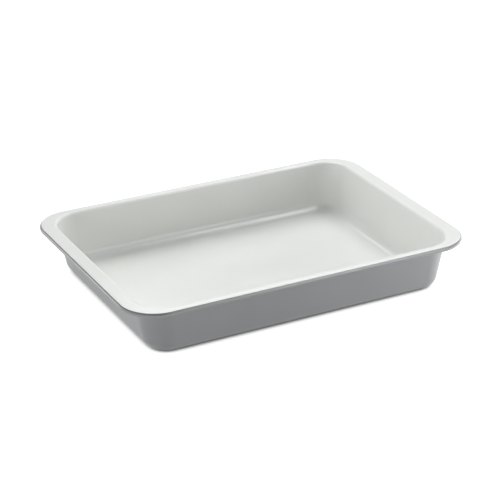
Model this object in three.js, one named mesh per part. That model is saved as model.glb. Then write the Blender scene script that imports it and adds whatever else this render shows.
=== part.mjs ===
// A rectangular metal baking dish: one drawn steel sheet with a wired, rolled rim, coated white inside and
// grey outside. Sizes are in millimetres, with +X along the length, +Y across the width and +Z up, and the
// origin is under the middle of the floor.
import * as THREE from "three";
import { toCreasedNormals } from "three/addons/utils/BufferGeometryUtils.js";

// Overall size, to the outside of the coatings
const RIM_LENGTH = 360;
const RIM_WIDTH = 252;
const DISH_HEIGHT = 51;
const RIM_CORNER_RADIUS = 36;

// Flat flange, from the rim's outer edge to the mouth of the well
const END_FLANGE_WIDTH = 13.5;
const SIDE_FLANGE_WIDTH = 7.1;

// Well, with its bends measured on the sheet's inner face
const MOUTH_CORNER_RADIUS = 32;
const MOUTH_BEND_RADIUS = 3;
const END_WALL_LEAN_DEGREES = 12.5;
const SIDE_WALL_LEAN_DEGREES = 8;
const BASE_BEND_RADIUS = 11;
const SHARPEST_CORNER_RADIUS = 1.5;

// Sheet and coatings
const SHEET_THICKNESS = 0.8;
const INNER_COATING_THICKNESS = 0.12;
const OUTER_COATING_THICKNESS = 0.12;

// Rolled rim: the sheet curls outwards, down and under, round a wire
const WIRE_DIAMETER = 3;
const WIRE_CLEARANCE = 0.06;
const WIRE_END_GAP = 0.6;
const CURL_END_GAP = 0.27;
const WHITE_WRAP_DEGREES = 20;

// Facets along each curve
const CORNER_STEPS = 8;
const MOUTH_BEND_STEPS = 3;
const BASE_BEND_STEPS = 4;
const WHITE_WRAP_STEPS = 1;
const CURL_STEPS = 10;
const WIRE_SIDES = 8;
const CREASE_DEGREES = 35;

const QUARTER_TURN = Math.PI / 2;
const HALF_TURN = Math.PI;
const FULL_TURN = 2 * Math.PI;

// Heights of the sheet's inner face on the flange and on the floor
const flangeHeight = DISH_HEIGHT - INNER_COATING_THICKNESS;
const floorHeight = OUTER_COATING_THICKNESS + SHEET_THICKNESS;
const endLean = THREE.MathUtils.degToRad(END_WALL_LEAN_DEGREES);
const sideLean = THREE.MathUtils.degToRad(SIDE_WALL_LEAN_DEGREES);

// Radii of the rolled rim, from the wire outwards
const wireRadius = WIRE_DIAMETER / 2;
const curlInnerRadius = wireRadius + WIRE_CLEARANCE;
const curlOuterRadius = curlInnerRadius + SHEET_THICKNESS;
const whiteRollRadius = curlOuterRadius + INNER_COATING_THICKNESS;
const greyRollRadius = curlOuterRadius + OUTER_COATING_THICKNESS;

// Plan outlines
const rimOutline = {
  halfLength: RIM_LENGTH / 2,
  halfWidth: RIM_WIDTH / 2,
  cornerRadius: RIM_CORNER_RADIUS,
};
const mouthOutline = {
  halfLength: RIM_LENGTH / 2 - END_FLANGE_WIDTH,
  halfWidth: RIM_WIDTH / 2 - SIDE_FLANGE_WIDTH,
  cornerRadius: MOUTH_CORNER_RADIUS,
};

// Directions from the roll's centre: a quarter turn is up, half a turn outwards and a full turn inwards
const rollTop = QUARTER_TURN;
const whiteEnd = rollTop + THREE.MathUtils.degToRad(WHITE_WRAP_DEGREES);
const curlEnd = FULL_TURN + Math.asin((curlInnerRadius - CURL_END_GAP) / curlOuterRadius);
const greyCrease = FULL_TURN + Math.asin((curlInnerRadius - OUTER_COATING_THICKNESS) / greyRollRadius);

// An arc of the rolled rim's section.
function rollArc(radius, from, to) {
  const height = flangeHeight - curlOuterRadius;
  return () => ({ outline: rimOutline, inset: greyRollRadius, height, radius, from, to });
}

// The bend from the flange down into the wall. The level of a face is its distance above the sheet's inner
// face, along its normal.
function mouthArc(level) {
  const height = flangeHeight - MOUTH_BEND_RADIUS;
  const radius = MOUTH_BEND_RADIUS + level;
  return (lean) => ({ outline: mouthOutline, inset: 0, height, radius, from: QUARTER_TURN, to: lean });
}

// The bend from the foot of the wall into the floor.
function baseArc(level) {
  const height = floorHeight + BASE_BEND_RADIUS;
  const radius = BASE_BEND_RADIUS - level;
  const bendRadii = MOUTH_BEND_RADIUS + BASE_BEND_RADIUS;
  const to = HALF_TURN + QUARTER_TURN;
  return (lean) => {
    const wallHeight = flangeHeight - floorHeight - bendRadii * (1 - Math.sin(lean));
    const inset = bendRadii * Math.cos(lean) + wallHeight * Math.tan(lean);
    return { outline: mouthOutline, inset, height, radius, from: HALF_TURN + lean, to };
  };
}

// Stations along an arc of the section. A station is a line round the dish, which gives its inset from a plan
// outline and its height where the wall has a lean.
function arcStations(arc, steps) {
  return Array.from({ length: steps + 1 }, (_, step) => (lean) => {
    const { outline, inset, height, radius, from, to } = arc(lean);
    const angle = THREE.MathUtils.lerp(from, to, step / steps);
    return {
      outline,
      inset: inset + radius * Math.cos(angle),
      height: height + radius * Math.sin(angle),
    };
  });
}

// Stations down one face of the well, from its mouth to the edge of the floor.
function wellStations(level) {
  return [...arcStations(mouthArc(level), MOUTH_BEND_STEPS), ...arcStations(baseArc(level), BASE_BEND_STEPS)];
}

// The faces that the pieces share or show, each as stations from the rim to the floor
const whiteFace = wellStations(INNER_COATING_THICKNESS);
const sheetInnerFace = wellStations(0);
const sheetOuterFace = wellStations(-SHEET_THICKNESS);
const greyFace = wellStations(-SHEET_THICKNESS - OUTER_COATING_THICKNESS);
const curlUnderWhite = arcStations(rollArc(curlOuterRadius, rollTop, whiteEnd), WHITE_WRAP_STEPS);
const curlUnderGrey = arcStations(rollArc(curlOuterRadius, whiteEnd, curlEnd), CURL_STEPS);

// The point of a station in one corner. The wall's lean turns smoothly from the end's to the side's there.
function cornerPoint(station, cornerX, cornerY, angle) {
  const facing = new THREE.Vector2(Math.cos(angle), Math.sin(angle));
  const { outline, inset, height } = station(endLean * facing.x ** 2 + sideLean * facing.y ** 2);
  const radius = Math.max(outline.cornerRadius - inset, SHARPEST_CORNER_RADIUS);
  const x = cornerX * (outline.halfLength - inset - radius) + radius * facing.x;
  const y = cornerY * (outline.halfWidth - inset - radius) + radius * facing.y;
  return new THREE.Vector3(x, y, height);
}

// The closed ring of points that a station runs through.
function ringPoints(station) {
  const corners = [[1, 1], [-1, 1], [-1, -1], [1, -1]];
  return corners.flatMap(([cornerX, cornerY], corner) =>
    Array.from({ length: CORNER_STEPS + 1 }, (_, step) => {
      const angle = (corner + step / CORNER_STEPS) * QUARTER_TURN;
      return cornerPoint(station, cornerX, cornerY, angle);
    }),
  );
}

// Two triangles over four points in order, split along the shorter diagonal.
function quadTriangles(points, a, b, c, d) {
  const splitsAtA = points[a].distanceTo(points[c]) < points[b].distanceTo(points[d]);
  return splitsAtA ? [a, b, c, a, c, d] : [a, b, d, b, c, d];
}

// Triangles over rows of points, whose rows or columns may join up with the first.
function gridTriangles(rows, rowsJoin, columnsJoin) {
  const points = rows.flat();
  const columnCount = rows[0].length;
  const rowCells = rowsJoin ? rows.length : rows.length - 1;
  const columnCells = columnsJoin ? columnCount : columnCount - 1;
  const triangles = [];
  for (let row = 0; row < rowCells; row += 1) {
    for (let column = 0; column < columnCells; column += 1) {
      const here = row * columnCount;
      const above = ((row + 1) % rows.length) * columnCount;
      const next = (column + 1) % columnCount;
      triangles.push(...quadTriangles(points, here + column, here + next, above + next, above + column));
    }
  }
  return triangles;
}

// A flat cap over a convex loop of point numbers, facing the way that the loop turns.
function capTriangles(loop) {
  return loop.slice(1, -1).flatMap((point, i) => [loop[0], point, loop[i + 2]]);
}

function solidGeometry(points, triangles) {
  const geometry = new THREE.BufferGeometry().setFromPoints(points);
  geometry.setIndex(triangles);
  return toCreasedNormals(geometry, THREE.MathUtils.degToRad(CREASE_DEGREES));
}

// A closed solid through stations that climb its outside from the floor, cross the rim and come down its
// inside to the floor.
function loftedSolid(stations) {
  const rings = stations.map(ringPoints);
  const ringSize = rings[0].length;
  const pointNumbers = [...rings.flat().keys()];
  const underside = pointNumbers.slice(0, ringSize).reverse();
  const topSide = pointNumbers.slice(-ringSize);
  return solidGeometry(rings.flat(), [
    ...gridTriangles(rings, false, true),
    ...capTriangles(underside),
    ...capTriangles(topSide),
  ]);
}

function steelShell() {
  return loftedSolid([
    ...sheetOuterFace.toReversed(),
    ...arcStations(rollArc(curlInnerRadius, rollTop, curlEnd), CURL_STEPS),
    ...curlUnderGrey.toReversed(),
    ...curlUnderWhite.slice(0, -1).toReversed(),
    ...sheetInnerFace,
  ]);
}

function whiteInnerCoating() {
  return loftedSolid([
    ...sheetInnerFace.toReversed(),
    ...curlUnderWhite,
    ...arcStations(rollArc(whiteRollRadius, whiteEnd, rollTop), WHITE_WRAP_STEPS),
    ...whiteFace,
  ]);
}

// The grey coat closes the seam where the curl's raw edge comes up under the flange.
function greyOuterCoating() {
  const seam = (lean) => ({ ...curlUnderGrey.at(-1)(lean), height: flangeHeight - SHEET_THICKNESS });
  return loftedSolid([
    ...greyFace.toReversed(),
    ...arcStations(rollArc(greyRollRadius, greyCrease, whiteEnd), CURL_STEPS),
    ...curlUnderGrey,
    seam,
    ...sheetOuterFace,
  ]);
}

// A hoop of round wire, whose ends butt at the middle of the back long side.
function rimWire() {
  const sides = arcStations(rollArc(wireRadius, FULL_TURN, 0), WIRE_SIDES).slice(1);
  const cornerSize = CORNER_STEPS + 1;
  const runs = sides.map((station) => {
    const ring = ringPoints(station);
    const start = ring[cornerSize].clone().setX(-WIRE_END_GAP / 2);
    const end = ring[cornerSize].clone().setX(WIRE_END_GAP / 2);
    return [start, ...ring.slice(cornerSize), ...ring.slice(0, cornerSize), end];
  });
  const runSize = runs[0].length;
  const startFace = runs.map((_, side) => side * runSize);
  const endFace = startFace.map((point) => point + runSize - 1);
  return solidGeometry(runs.flat(), [
    ...gridTriangles(runs, true, false),
    ...capTriangles(startFace),
    ...capTriangles(endFace.toReversed()),
  ]);
}

const bareSteel = new THREE.MeshStandardMaterial({ color: 0x8d9093, roughness: 0.42, metalness: 1 });
const galvanizedWire = new THREE.MeshStandardMaterial({ color: 0xa5a9ab, roughness: 0.5, metalness: 1 });
const whiteCeramic = new THREE.MeshStandardMaterial({ color: 0xe4e7e3, roughness: 0.3, metalness: 0 });
const greySatin = new THREE.MeshStandardMaterial({ color: 0x7b7d80, roughness: 0.32, metalness: 0 });

function piece(name, geometry, material) {
  const mesh = new THREE.Mesh(geometry, material);
  mesh.name = name;
  return mesh;
}

const bakingDish = new THREE.Group();
bakingDish.add(
  piece("steel_shell", steelShell(), bareSteel),
  piece("rim_wire", rimWire(), galvanizedWire),
  piece("white_inner_coating", whiteInnerCoating(), whiteCeramic),
  piece("grey_outer_coating", greyOuterCoating(), greySatin),
);

export default bakingDish;
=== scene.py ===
# %% [markdown]
# # A white-lined steel baking dish
# A dish like this is drawn from one sheet of steel. The press leaves a flat flange round the mouth, the
# flange's edge is curled under round a wire, and a coat is sprayed and baked on each side: white inside,
# grey outside. The CAD model gives every piece its size and place, and this lesson gives each one a fine
# surface and a finish. Lengths are in metres, except where a name or a print says millimetres.

# %% The CAD model
from collections import namedtuple
from math import asin, cos, degrees, pi, radians, sin, tan

import bmesh
import bpy
from mathutils import Matrix, Vector


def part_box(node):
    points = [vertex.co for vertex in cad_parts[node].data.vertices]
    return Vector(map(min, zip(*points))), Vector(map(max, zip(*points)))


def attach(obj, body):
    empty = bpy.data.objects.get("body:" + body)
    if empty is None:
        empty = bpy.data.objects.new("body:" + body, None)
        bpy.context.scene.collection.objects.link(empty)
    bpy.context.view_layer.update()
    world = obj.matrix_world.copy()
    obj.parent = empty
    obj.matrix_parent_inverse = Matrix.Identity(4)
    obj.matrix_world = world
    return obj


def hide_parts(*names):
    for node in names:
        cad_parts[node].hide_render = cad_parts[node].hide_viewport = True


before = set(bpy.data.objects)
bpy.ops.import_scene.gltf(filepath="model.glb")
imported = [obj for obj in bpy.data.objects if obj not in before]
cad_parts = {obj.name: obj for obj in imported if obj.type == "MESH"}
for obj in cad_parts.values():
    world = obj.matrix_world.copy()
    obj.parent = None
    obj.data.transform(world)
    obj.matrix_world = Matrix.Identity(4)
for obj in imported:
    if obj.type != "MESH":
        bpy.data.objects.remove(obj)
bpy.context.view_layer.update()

print("CAD pieces:", sorted(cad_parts))

# %% [markdown]
# ## The camera
# The picture is taken with a long lens, from in front and a little to the left, looking down into the dish.
# The camera could follow an empty with a Track To constraint. Two angles and a distance do it with fewer
# parts: they give the line of sight, and the camera's three axes follow from it. The aim lies a hair off the
# dish's middle, because the picture is framed that way.

# %% The camera
CAMERA_TURN = radians(27.908)
CAMERA_PITCH = radians(25.095)
CAMERA_DISTANCE = 1.74863
FOCAL_LENGTH_MM = 128.635
SENSOR_WIDTH_MM = 36
AIM_HEIGHT = 0.025
AIM_RIGHT = 0.000378
AIM_UP = 0.002734

level_look = Vector((sin(CAMERA_TURN), cos(CAMERA_TURN), 0))
look = level_look * cos(CAMERA_PITCH) - Vector((0, 0, sin(CAMERA_PITCH)))
camera_right = Vector((cos(CAMERA_TURN), -sin(CAMERA_TURN), 0))
camera_up = camera_right.cross(look)
aim = Vector((0, 0, AIM_HEIGHT)) + camera_right * AIM_RIGHT + camera_up * AIM_UP

camera = bpy.data.objects.new("camera", bpy.data.cameras.new("camera"))
camera.data.lens = FOCAL_LENGTH_MM
camera.data.sensor_width = SENSOR_WIDTH_MM
camera_axes = Matrix((camera_right, camera_up, -look)).transposed()
camera.matrix_world = Matrix.Translation(aim - look * CAMERA_DISTANCE) @ camera_axes.to_4x4()
bpy.context.scene.collection.objects.link(camera)
bpy.context.scene.camera = camera
print("camera at", [round(place, 3) for place in camera.location])

# %% [markdown]
# ## The sizes of the sheet and its coats
# Each layer of the dish is a solid in the CAD model, so the frame knows how thick it is: the white coat's top
# lies above the steel's, and the steel's underside lies above the grey coat's. The thicknesses could be typed
# in again, but reading them off the boxes keeps the fine pieces true to the model. What a box can't tell,
# such as the bends and the walls' lean, is written here as on a drawing.

# %% Sizes
white_low, white_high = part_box("white_inner_coating")
steel_low, steel_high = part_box("steel_shell")
grey_low, grey_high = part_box("grey_outer_coating")
wire_low, wire_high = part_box("rim_wire")

white_thickness = white_high.z - steel_high.z
sheet_thickness = white_low.z - steel_low.z
grey_thickness = steel_low.z - grey_low.z
wire_radius = (wire_high.z - wire_low.z) / 2
flange_height = steel_high.z
floor_height = white_low.z

RIM_CORNER_RADIUS = 0.036
END_FLANGE_WIDTH = 0.0135
SIDE_FLANGE_WIDTH = 0.0071
MOUTH_CORNER_RADIUS = 0.032
MOUTH_BEND_RADIUS = 0.003
BASE_BEND_RADIUS = 0.011
END_WALL_LEAN = radians(12.5)
SIDE_WALL_LEAN = radians(8)

layers = (white_thickness, sheet_thickness, grey_thickness)
print("layers in mm, from the inside:", [round(1000 * thickness, 2) for thickness in layers])

# %% [markdown]
# ## Outlines from above
# Seen from above, every line round the dish is a rectangle with round corners, set in from one of two
# outlines: the rim's outer edge or the mouth of the well. A curve object could hold each outline, but three
# numbers are enough to work out any point on it.

# %% Outlines
Outline = namedtuple("Outline", "half_length half_width corner_radius")

rim = Outline(grey_high.x, grey_high.y, RIM_CORNER_RADIUS)
mouth = Outline(rim.half_length - END_FLANGE_WIDTH, rim.half_width - SIDE_FLANGE_WIDTH, MOUTH_CORNER_RADIUS)
print("mouth in mm:", round(2000 * mouth.half_length, 1), "by", round(2000 * mouth.half_width, 1))

# %% [markdown]
# ## The section of the dish
# Cut through a wall, the dish is made of arcs: the rolled rim, the bend at the mouth and the bend at the
# foot of the wall, with straight runs between them. The section could be a list of points, but an arc says
# the same with a centre, a radius and two angles, which turn from inwards through up and outwards to down. A
# face's level is its distance above the sheet's inner face, so one arc serves the steel and both coats. The
# ends lean more than the long sides, so each arc is a function of the lean.

# %% Arcs of the section
Arc = namedtuple("Arc", "outline inset height radius start end")

UP = pi / 2
OUTWARDS = pi
DOWN = 1.5 * pi
FULL_TURN = 2 * pi
WIRE_CLEARANCE = 0.00006

curl_inner_radius = wire_radius + WIRE_CLEARANCE
curl_outer_radius = curl_inner_radius + sheet_thickness
white_roll_radius = curl_outer_radius + white_thickness
grey_roll_radius = curl_outer_radius + grey_thickness


def roll_arc(radius, start, end):
    """An arc of the rolled rim, from one angle to another. All of them share the wire's middle."""
    return lambda lean: Arc(rim, grey_roll_radius, flange_height - curl_outer_radius, radius, start, end)


def mouth_arc(level):
    """The bend from the flange down into the wall."""
    height = flange_height - MOUTH_BEND_RADIUS
    return lambda lean: Arc(mouth, 0, height, MOUTH_BEND_RADIUS + level, UP, lean)


def base_arc(level):
    """The bend from the foot of the wall into the floor."""
    bend_radii = MOUTH_BEND_RADIUS + BASE_BEND_RADIUS

    def arc(lean):
        wall_height = flange_height - floor_height - bend_radii * (1 - sin(lean))
        inset = bend_radii * cos(lean) + wall_height * tan(lean)
        height = floor_height + BASE_BEND_RADIUS
        return Arc(mouth, inset, height, BASE_BEND_RADIUS - level, OUTWARDS + lean, DOWN)

    return arc


print("the rolled rim is", round(2000 * grey_roll_radius, 2), "mm thick")

# %% [markdown]
# ## Rings round the dish
# A point of the section, carried once round the dish, draws a ring, and a skin of faces between rings makes
# a surface. A bevelled curve could do this too, but it can't turn the wall's lean from the ends to the sides
# on its way round a corner. In a corner the lean is shared by how far the wall faces each way.

# %% Rings
CORNER_STEPS = 24
CORNER_SIGNS = ((1, 1), (-1, 1), (-1, -1), (1, -1))


def stations(arc_at, steps):
    """Places along an arc. Each gives its outline, inset and height where the wall has a lean."""

    def place(share):
        def station(lean):
            arc = arc_at(lean)
            angle = arc.start + (arc.end - arc.start) * share
            return arc.outline, arc.inset + arc.radius * cos(angle), arc.height + arc.radius * sin(angle)

        return station

    return [place(step / steps) for step in range(steps + 1)]


def corner_point(station, signs, angle):
    """A station's point in one corner, where the wall faces along the angle."""
    lean = END_WALL_LEAN * cos(angle) ** 2 + SIDE_WALL_LEAN * sin(angle) ** 2
    outline, inset, height = station(lean)
    radius = outline.corner_radius - inset
    x = signs[0] * (outline.half_length - outline.corner_radius) + radius * cos(angle)
    y = signs[1] * (outline.half_width - outline.corner_radius) + radius * sin(angle)
    return Vector((x, y, height))


def ring_points(station):
    """The closed ring that a station draws, anticlockwise from where the right end meets the back corner."""
    return [
        corner_point(station, signs, (corner + step / CORNER_STEPS) * pi / 2)
        for corner, signs in enumerate(CORNER_SIGNS)
        for step in range(CORNER_STEPS + 1)
    ]


print("points in a ring:", len(CORNER_SIGNS) * (CORNER_STEPS + 1))

# %% [markdown]
# ## Faces that the pieces share
# On the real dish the coats stick to the sheet, so the steel's two faces are also the backs of the coats. A
# Solidify modifier could thicken one surface three times, but then the layers would only seem to meet. Here
# each face is listed once and used by both neighbours, and they fit with no gap and no overlap. The white
# coat laps a little way over the roll, where the spray ran out, and the grey coat takes over from there.

# %% Shared faces
MOUTH_BEND_STEPS = 8
BASE_BEND_STEPS = 12
WHITE_WRAP_STEPS = 4
CURL_STEPS = 28
WHITE_WRAP = radians(20)
CURL_END_GAP = 0.00027

white_end = UP + WHITE_WRAP
curl_end = FULL_TURN + asin((curl_inner_radius - CURL_END_GAP) / curl_outer_radius)
grey_crease = FULL_TURN + asin((curl_inner_radius - grey_thickness) / grey_roll_radius)


def well_face(level):
    """Stations down one face of the well, from its mouth to the edge of the floor."""
    return stations(mouth_arc(level), MOUTH_BEND_STEPS) + stations(base_arc(level), BASE_BEND_STEPS)


white_face = well_face(white_thickness)
sheet_inner_face = well_face(0)
sheet_outer_face = well_face(-sheet_thickness)
grey_face = well_face(-sheet_thickness - grey_thickness)
curl_under_white = stations(roll_arc(curl_outer_radius, UP, white_end), WHITE_WRAP_STEPS)
curl_under_grey = stations(roll_arc(curl_outer_radius, white_end, curl_end), CURL_STEPS)
print("stations down a face of the well:", len(white_face))

# %% [markdown]
# ## From rings to a solid
# A layer of the dish is one closed skin: up its outside from the floor, over the rim and down its inside,
# with a flat face on each floor. A Subdivision Surface could round the bends, but it would also round the
# layers' thin edges. There are enough rings in each bend to shade it smoothly, edges past an angle stay
# crisp, and weighted normals keep the big flat faces flat beside their bends.

# %% Solids
CREASE_ANGLE = radians(35)


def piece_from_faces(name, mesh_faces, node):
    """Turns faces into a named piece that stands for a node of the frame."""
    data = bpy.data.meshes.new(name)
    mesh_faces.to_mesh(data)
    mesh_faces.free()
    data.shade_smooth()
    data.set_sharp_from_angle(angle=CREASE_ANGLE)
    piece = bpy.data.objects.new(name, data)
    bpy.context.scene.collection.objects.link(piece)
    flat_faces = piece.modifiers.new("flat_faces", "WEIGHTED_NORMAL")
    flat_faces.keep_sharp = True
    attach(piece, "root")
    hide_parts(node)
    print(name, "has", len(data.polygons), "faces")
    return piece


def skin(mesh_faces, rings):
    """Faces between each ring and the next."""
    for ring, next_ring in zip(rings, rings[1:]):
        for corners in zip(ring, ring[1:] + ring[:1], next_ring[1:] + next_ring[:1], next_ring):
            mesh_faces.faces.new(corners)


def layer(name, layer_stations, node):
    """A layer of the dish from stations that climb its outside and come down its inside."""
    mesh_faces = bmesh.new()
    rings = [[mesh_faces.verts.new(point) for point in ring_points(station)] for station in layer_stations]
    skin(mesh_faces, rings)
    mesh_faces.faces.new(reversed(rings[0]))
    mesh_faces.faces.new(rings[-1])
    return piece_from_faces(name, mesh_faces, node)


print("edges past", round(degrees(CREASE_ANGLE)), "degrees stay crisp")

# %% [markdown]
# ## The steel sheet
# The sheet carries everything. Its edge curls outwards, down and round the wire until it nearly meets the
# flange again. Only its coats can be seen, so it could be left out, but it is modelled whole, as it would be
# found on a cut edge.

# %% The steel sheet
steel_sheet = layer(
    "steel_sheet",
    sheet_outer_face[::-1]
    + stations(roll_arc(curl_inner_radius, UP, curl_end), CURL_STEPS)
    + curl_under_grey[::-1]
    + curl_under_white[-2::-1]
    + sheet_inner_face,
    "steel_shell",
)

# %% [markdown]
# ## The white coat
# The white coat covers the inside: the floor, the inner walls, the flange's top and the first of the roll.
# It could be a second colour on the sheet, but as a layer of its own it has the small step at its edge that
# catches the light along the rim.

# %% The white coat
white_coat = layer(
    "white_coat",
    sheet_inner_face[::-1]
    + curl_under_white
    + stations(roll_arc(white_roll_radius, white_end, UP), WHITE_WRAP_STEPS)
    + white_face,
    "white_inner_coating",
)

# %% [markdown]
# ## The grey coat
# The grey coat covers the rest: the roll, the flange's underside, the outer walls and the underside. It
# closes the seam where the sheet's raw edge comes up under the flange. The seam could be left open, but a
# sprayed coat bridges so narrow a gap.

# %% The grey coat


def seam(lean):
    """The line where the grey coat crosses from the curl's raw edge to the flange's underside."""
    outline, inset = curl_under_grey[-1](lean)[:2]
    return outline, inset, flange_height - sheet_thickness


grey_coat = layer(
    "grey_coat",
    grey_face[::-1]
    + stations(roll_arc(grey_roll_radius, grey_crease, white_end), CURL_STEPS)
    + curl_under_grey
    + [seam]
    + sheet_outer_face,
    "grey_outer_coating",
)

# %% [markdown]
# ## The wire in the rim
# A hoop of round wire stiffens the rim, and its two ends butt at the middle of the back. It could be a curve
# with a round bevel, but made from an arc of the roll it lies in the middle of the curl by itself. Round
# slices follow one another along the rim, and a flat face closes each end.

# %% The wire in the rim
WIRE_SIDES = 16
WIRE_END_GAP = 0.0006


def wire_run(station):
    """A line along the wire, from one end of it round the dish to the other."""
    ring = ring_points(station)
    corner_size = CORNER_STEPS + 1
    start = Vector((-WIRE_END_GAP / 2, *ring[corner_size].yz))
    end = Vector((WIRE_END_GAP / 2, *ring[corner_size].yz))
    return [start] + ring[corner_size:] + ring[:corner_size] + [end]


wire_faces = bmesh.new()
wire_sides = stations(roll_arc(wire_radius, FULL_TURN, 0), WIRE_SIDES)[1:]
wire_runs = [[wire_faces.verts.new(point) for point in wire_run(side)] for side in wire_sides]
slices = [list(points) for points in zip(*wire_runs)]
skin(wire_faces, slices[::-1])
wire_faces.faces.new(slices[0])
wire_faces.faces.new(reversed(slices[-1]))
wire = piece_from_faces("wire", wire_faces, "rim_wire")

# %% [markdown]
# ## Building blocks for finishes
# A finish is a small network of nodes. It could be drawn by hand in the Shader Editor, but a script shows
# every step. These helpers feed a socket, add a node, work out a value, open a node group with named sockets
# and lay noise over the dish, so that the finishes below read like recipes.

# %% Node helpers


def feed(tree, source, socket):
    """Feeds a socket from another node's output, or sets it to a plain value."""
    if isinstance(source, bpy.types.NodeSocket):
        tree.links.new(source, socket)
    else:
        socket.default_value = source


def add(tree, kind, inputs, **settings):
    """Adds a node with its settings and its inputs, which go by name or by number."""
    node = tree.nodes.new(kind)
    for setting, value in settings.items():
        setattr(node, setting, value)
    for name, source in inputs.items():
        feed(tree, source, node.inputs[name])
    return node


def calculate(tree, operation, first, second):
    """The sum, product or other result of two values."""
    return add(tree, "ShaderNodeMath", {0: first, 1: second}, operation=operation).outputs[0]


def new_group(name, inputs, outputs):
    """A shader node group with its sockets, and the nodes inside it that stand for them."""
    group = bpy.data.node_groups.new(name, "ShaderNodeTree")
    for socket_name, kind in inputs.items():
        group.interface.new_socket(socket_name, in_out="INPUT", socket_type="NodeSocket" + kind)
    for socket_name, kind in outputs.items():
        group.interface.new_socket(socket_name, in_out="OUTPUT", socket_type="NodeSocket" + kind)
    print("node group:", name)
    return group, group.nodes.new("NodeGroupInput").outputs, group.nodes.new("NodeGroupOutput").inputs


def noise(tree, size, detail, stretch=(1, 1, 1)):
    """Noise with blotches about a size across, in the dish's own coordinates. Detail adds finer layers."""
    place = add(tree, "ShaderNodeTexCoord", {}).outputs["Object"]
    stretched = add(tree, "ShaderNodeMapping", {"Vector": place, "Scale": stretch}).outputs["Vector"]
    inputs = {"Vector": stretched, "Scale": calculate(tree, "DIVIDE", 1, size), "Detail": detail}
    return add(tree, "ShaderNodeTexNoise", inputs).outputs["Fac"]


print("helpers: feed, add, calculate, new_group, noise")

# %% [markdown]
# ## Sprayed film
# A coat that is sprayed and baked flows out almost flat. Up close it keeps a soft ripple, like the skin of an
# orange, and a much finer grain from its pigment. The ripple could be sculpted, but it is only a few
# thousandths of a millimetre deep, so a Bump node shows it better. Both coats have it, so it is a node group
# that gives a height. Its inputs are the two sizes and how strong the grain is beside the ripple.

# %% Sprayed film
film_inputs = {"Ripple Size": "Float", "Grain Size": "Float", "Grain Share": "Float"}
sprayed_film, film_in, film_out = new_group("sprayed film", film_inputs, {"Height": "Float"})
film_ripple = noise(sprayed_film, film_in["Ripple Size"], detail=2)
film_grain = noise(sprayed_film, film_in["Grain Size"], detail=2)
shared_grain = calculate(sprayed_film, "MULTIPLY", film_grain, film_in["Grain Share"])
feed(sprayed_film, calculate(sprayed_film, "ADD", film_ripple, shared_grain), film_out["Height"])

# %% [markdown]
# ## Drift of tone
# No baked coat or rolled sheet has quite one colour: it drifts a little where the film is thicker or the oven
# was hotter. It could be painted on, but noise gives soft clouds of any size without a picture. Noise keeps
# to the middle of its range, so that part is spread from minus one to one, and the colour is made lighter or
# darker by that share of the drift.

# %% Drift of tone
NOISE_RANGE = (0.3, 0.7)
EITHER_WAY = (-1, 1)


def remap(tree, value, old_range, new_range):
    """Moves a value from one range to another, held at the ends."""
    inputs = {
        "Value": value,
        "From Min": old_range[0],
        "From Max": old_range[1],
        "To Min": new_range[0],
        "To Max": new_range[1],
    }
    return add(tree, "ShaderNodeMapRange", inputs).outputs["Result"]


tone_inputs = {"Colour": "Color", "Cloud Size": "Float", "Drift": "Float"}
tone_drift, tone_in, tone_out = new_group("drift of tone", tone_inputs, {"Colour": "Color"})
cloud = remap(tone_drift, noise(tone_drift, tone_in["Cloud Size"], detail=3), NOISE_RANGE, EITHER_WAY)
change = calculate(tone_drift, "MULTIPLY", cloud, tone_in["Drift"])
lightness = calculate(tone_drift, "ADD", change, 1)
scaling = {0: tone_in["Colour"], "Scale": lightness}
drifted = add(tone_drift, "ShaderNodeVectorMath", scaling, operation="SCALE")
feed(tone_drift, drifted.outputs["Vector"], tone_out["Colour"])

# %% [markdown]
# ## Wiped gloss
# Washing and handling leave a satin face a little glossier in some places than in others. A single roughness
# would look like plastic. The group starts from the finish's own roughness and spreads it in soft smears,
# drawn out along the dish's length, the way a cloth runs.

# %% Wiped gloss
SMEAR_STRETCH = (0.35, 1, 1)

wipe_inputs = {"Roughness": "Float", "Smear Size": "Float", "Spread": "Float"}
wiped_gloss, wipe_in, wipe_out = new_group("wiped gloss", wipe_inputs, {"Roughness": "Float"})
smears = noise(wiped_gloss, wipe_in["Smear Size"], detail=4, stretch=SMEAR_STRETCH)
smear_level = remap(wiped_gloss, smears, NOISE_RANGE, EITHER_WAY)
spread = calculate(wiped_gloss, "MULTIPLY", smear_level, wipe_in["Spread"])
feed(wiped_gloss, calculate(wiped_gloss, "ADD", wipe_in["Roughness"], spread), wipe_out["Roughness"])

# %% [markdown]
# ## Rolled grain
# Sheet and wire are pulled through rollers or a die, which leave fine lines along the metal. An Anisotropic
# setting could hint at them, but lines that can be seen up close need a height. They are noise, stretched
# along the dish's length.

# %% Rolled grain
GRAIN_STRETCH = (0.02, 1, 1)

rolled_grain, grain_in, grain_out = new_group("rolled grain", {"Line Size": "Float"}, {"Height": "Float"})
grain_lines = noise(rolled_grain, grain_in["Line Size"], detail=3, stretch=GRAIN_STRETCH)
feed(rolled_grain, grain_lines, grain_out["Height"])

# %% [markdown]
# ## Putting a finish together
# Every finish here has the same plan: one Principled shader, whose colour, roughness and relief each come
# from a node group. What is the same all over, such as how metallic it is, is set on the shader itself. Each
# material could repeat these nodes, but one function keeps the four alike and leaves only their values.

# %% A finish


def effect(tree, group, inputs):
    """Places a node group in a finish, and gives what it puts out."""
    return add(tree, "ShaderNodeGroup", inputs, node_tree=group).outputs[0]


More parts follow.
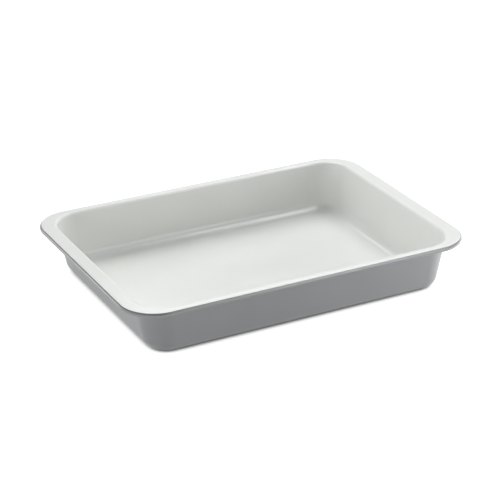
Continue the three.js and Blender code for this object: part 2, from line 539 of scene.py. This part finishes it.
def apply_finish(piece, name, metallic, tone, gloss, relief, relief_inputs, relief_depth):
    """Gives a piece a material. The relief's full height is its depth in metres."""
    material = bpy.data.materials.new(name)
    material.use_nodes = True
    piece.data.materials.append(material)
    tree = material.node_tree
    shader = tree.nodes["Principled BSDF"].inputs
    relief_height = effect(tree, relief, relief_inputs)
    bump = add(tree, "ShaderNodeBump", {"Height": relief_height, "Distance": relief_depth})
    feed(tree, metallic, shader["Metallic"])
    feed(tree, effect(tree, tone_drift, tone), shader["Base Color"])
    feed(tree, effect(tree, wiped_gloss, gloss), shader["Roughness"])
    feed(tree, bump.outputs["Normal"], shader["Normal"])
    print(piece.name, "is finished in", name)


finish_groups = (tone_drift, wiped_gloss, sprayed_film, rolled_grain)
print("groups to build from:", [group.name for group in finish_groups])

# %% [markdown]
# ## White ceramic
# The inside is a satin white ceramic coat, a touch cool. A pure white could be used, but then the walls would
# throw so much light at each other that the inside lost its shape. Four fifths white keeps the shading, and
# the lamps bring it up to the white of the picture.

# %% White ceramic
apply_finish(
    white_coat,
    "white ceramic",
    metallic=0,
    tone={"Colour": (0.81, 0.822, 0.8, 1), "Cloud Size": 0.05, "Drift": 0.012},
    gloss={"Roughness": 0.235, "Smear Size": 0.03, "Spread": 0.02},
    relief=sprayed_film,
    relief_inputs={"Ripple Size": 0.0022, "Grain Size": 0.0003, "Grain Share": 0.15},
    relief_depth=0.000005,
)

# %% [markdown]
# ## Grey satin
# The outside is a grey coat with a metallic pigment, which shows as a soft sheen along the rim and the
# corners. A plain paint would lack it and bare metal would have too much, so a part of the coat counts as
# metal.

# %% Grey satin
apply_finish(
    grey_coat,
    "grey satin",
    metallic=0.3,
    tone={"Colour": (0.222, 0.227, 0.231, 1), "Cloud Size": 0.04, "Drift": 0.02},
    gloss={"Roughness": 0.32, "Smear Size": 0.025, "Spread": 0.025},
    relief=sprayed_film,
    relief_inputs={"Ripple Size": 0.0016, "Grain Size": 0.00025, "Grain Share": 0.4},
    relief_depth=0.000006,
)

# %% [markdown]
# ## Bare steel
# The sheet's own surface is bright rolled steel. It doesn't show on a whole dish, so a plain grey would do,
# but a dish that is cut open shows it, with the lines that the rollers left.

# %% Bare steel
apply_finish(
    steel_sheet,
    "bare steel",
    metallic=1,
    tone={"Colour": (0.5, 0.51, 0.52, 1), "Cloud Size": 0.03, "Drift": 0.04},
    gloss={"Roughness": 0.35, "Smear Size": 0.02, "Spread": 0.06},
    relief=rolled_grain,
    relief_inputs={"Line Size": 0.0004},
    relief_depth=0.00001,
)

# %% [markdown]
# ## Galvanized wire
# The wire is galvanized, and its zinc is paler, duller and patchier than the sheet. It could share the
# sheet's finish, but its clouds and smears have to be smaller, because the wire is thin.

# %% Galvanized wire
apply_finish(
    wire,
    "galvanized wire",
    metallic=1,
    tone={"Colour": (0.58, 0.6, 0.61, 1), "Cloud Size": 0.006, "Drift": 0.08},
    gloss={"Roughness": 0.48, "Smear Size": 0.005, "Spread": 0.08},
    relief=rolled_grain,
    relief_inputs={"Line Size": 0.0003},
    relief_depth=0.00001,
)

# %% [markdown]
# ## The studio
# The dish stands on a white sweep that curves up a little way all round it, under a dark ceiling. The camera
# sees plain white. In the glossy coats, the white and the dark draw the pale and dark lines along the rolled
# rim. A picture of a studio could be wrapped round the world, but a few nodes that read how high a ray points
# do the same without a file. Diffuse rays get an even soft light.

# %% The world
SWEEP_TOP = radians(12)
CEILING_START = radians(22)
WHITE_LEVEL = 1
CEILING_LEVEL = 0.1
SOFT_LEVEL = 0.36


def mix(tree, share, first, second):
    """The first value where the share is 0, and the second where it is 1."""
    return add(tree, "ShaderNodeMix", {"Factor": share, "A": first, "B": second}).outputs["Result"]


def grey(level):
    """A colour whose three channels are alike."""
    return level, level, level, 1


world = bpy.data.worlds.new("studio")
world.use_nodes = True
bpy.context.scene.world = world
sky = world.node_tree
ray = add(sky, "ShaderNodeLightPath", {}).outputs
ray_direction = add(sky, "ShaderNodeTexCoord", {}).outputs["Generated"]
ray_height = add(sky, "ShaderNodeSeparateXYZ", {"Vector": ray_direction}).outputs["Z"]
sweep = remap(sky, ray_height, (sin(SWEEP_TOP), sin(CEILING_START)), (WHITE_LEVEL, CEILING_LEVEL))
bounced = mix(sky, ray["Is Glossy Ray"], SOFT_LEVEL, sweep)
straight = calculate(sky, "MAXIMUM", ray["Is Camera Ray"], ray["Is Transmission Ray"])
background = sky.nodes["Background"].inputs
feed(sky, grey(WHITE_LEVEL), background["Color"])
feed(sky, mix(sky, straight, bounced, WHITE_LEVEL), background["Strength"])
print("soft light from all round:", SOFT_LEVEL)

# %% [markdown]
# ## The lamps
# The main lamp is a large soft box high behind the dish, to the right, so the front is left darker. A low box
# at each end lights the flange and the outer walls, while the dish's own walls keep most of it off the floor
# inside. Three strips are only about as tall as the dish, so they lift the front and its corners but not the
# inside. Spot lamps would cast hard shadows, so all are area lamps. Glossy rays don't see them, because the
# cards of the next step draw what the coats reflect.

# %% The lamps


def soft_box(name, place, width, height, level):
    """An area lamp that faces the dish. Its level is how bright its face looks, where 1 is white."""
    box = bpy.data.objects.new(name, bpy.data.lights.new(name, "AREA"))
    box.data.shape = "RECTANGLE"
    box.data.size = width
    box.data.size_y = height
    box.data.energy = level * pi * width * height
    box.location = place
    box.rotation_euler = (aim - Vector(place)).to_track_quat("-Z", "Y").to_euler()
    bpy.context.scene.collection.objects.link(box)
    print(name, "gives", round(box.data.energy, 2), "W")
    return box


lamps = [
    soft_box("key_box", place=(0.6, 1, 1.7), width=1.7, height=1.2, level=4.8),
    soft_box("left_box", place=(-0.9, 0.08, 0.2), width=0.9, height=0.26, level=4.5),
    soft_box("right_box", place=(0.9, -0.05, 0.2), width=0.9, height=0.26, level=4.5),
    soft_box("front_strip", place=(0.2, -0.6, 0.03), width=1, height=0.045, level=8),
    soft_box("right_strip", place=(0.46, -0.26, 0.028), width=0.36, height=0.045, level=44),
    soft_box("left_strip", place=(-0.3, -0.24, 0.028), width=0.2, height=0.045, level=4.2),
]
for lamp in lamps:
    lamp.visible_glossy = False

# %% [markdown]
# ## The cards
# A photographer holds white cards round a glossy object and places each one by its reflection. Here they draw
# the pale lines along the roll, from above, from in front, from the right and from behind, and lay a sheen on
# the flange. They could be white planes, but area lamps that only glossy rays see add reflections and leave
# the soft light on the dish as it is.

# %% The cards
cards = [
    soft_box("top_card", place=(0.6, -0.15, 0.95), width=0.9, height=0.34, level=5.5),
    soft_box("front_card", place=(0.36, -0.7, 0.3), width=0.3, height=0.5, level=3.6),
    soft_box("right_card", place=(0.95, 0.25, 0.15), width=0.4, height=0.3, level=1.6),
    soft_box("sheen_card", place=(0.36, 0.45, 0.48), width=0.6, height=0.26, level=2.4),
    soft_box("back_card", place=(-0.7, 0.75, 0.15), width=0.5, height=0.3, level=3.8),
]
for card in cards:
    card.visible_diffuse = False

# %% [markdown]
# ## The floor
# The dish stands on a plain pale floor. A curved backdrop could be modelled, but the world already draws it,
# so one large flat face is enough. It lies a tenth of a millimetre below the dish, because two faces in the
# same place would show through each other.

# %% The floor
FLOOR_REACH = 8
FLOOR_DROP = 0.0001

floor_faces = bmesh.new()
bmesh.ops.create_grid(floor_faces, x_segments=1, y_segments=1, size=FLOOR_REACH)
floor_data = bpy.data.meshes.new("floor")
floor_faces.to_mesh(floor_data)
floor_faces.free()
floor = bpy.data.objects.new("floor", floor_data)
floor.location.z = -FLOOR_DROP
bpy.context.scene.collection.objects.link(floor)
print("the floor reaches", FLOOR_REACH, "m each way")

# %% [markdown]
# ## The floor's finish
# A white floor could simply glow, but then it would show no shadow, and lit by the lamps alone it would look
# grey. So it is seen as a pale face with a glow that brings it up to white, and the dish's shadow still
# darkens the face. The glow fades where the floor is closed in under the dish, a painted contact shadow that
# leaves a thin dark line at its foot. Light that the floor throws back at the dish comes from a duller face,
# so the foot of the walls stays darker.

# %% The floor's finish
SEEN_LEVEL = 0.45
GLOW_LEVEL = 0.85
THROWN_LEVEL = 0.25
CONTACT_REACH = 0.012
CLOSED_TO_OPEN = (0.1, 0.4)

floor_material = bpy.data.materials.new("white sweep")
floor_material.use_nodes = True
floor_data.materials.append(floor_material)
floor_tree = floor_material.node_tree
floor_tree.nodes.clear()
floor_ray = add(floor_tree, "ShaderNodeLightPath", {}).outputs
mirrored = calculate(floor_tree, "MAXIMUM", floor_ray["Is Glossy Ray"], floor_ray["Is Transmission Ray"])
seen = calculate(floor_tree, "MAXIMUM", floor_ray["Is Camera Ray"], mirrored)
# Ambient Occlusion dims the glow under the dish: a painted contact shadow on the floor, which the glossy
# coats also reflect.
openness = add(floor_tree, "ShaderNodeAmbientOcclusion", {"Distance": CONTACT_REACH}).outputs["AO"]
glow_level_with_painted_shadow = remap(floor_tree, openness, CLOSED_TO_OPEN, (0, GLOW_LEVEL))
glow = add(floor_tree, "ShaderNodeEmission", {"Strength": glow_level_with_painted_shadow}).outputs[0]
seen_face = add(floor_tree, "ShaderNodeBsdfDiffuse", {"Color": grey(SEEN_LEVEL)}).outputs[0]
seen_floor = add(floor_tree, "ShaderNodeAddShader", {0: seen_face, 1: glow}).outputs[0]
thrown_face = add(floor_tree, "ShaderNodeBsdfDiffuse", {"Color": grey(THROWN_LEVEL)}).outputs[0]
whole_floor = add(floor_tree, "ShaderNodeMixShader", {0: seen, 1: thrown_face, 2: seen_floor}).outputs[0]
add(floor_tree, "ShaderNodeOutputMaterial", {"Surface": whole_floor})
print("the floor glows", GLOW_LEVEL, "in the open")

# %% [markdown]
# ## The view transform
# The view transform is Standard, so that colours come out as they are written: a filmic one would be kinder
# to bright lamps, but it would grey the white.

# %% The view transform
bpy.context.scene.view_settings.view_transform = "Standard"
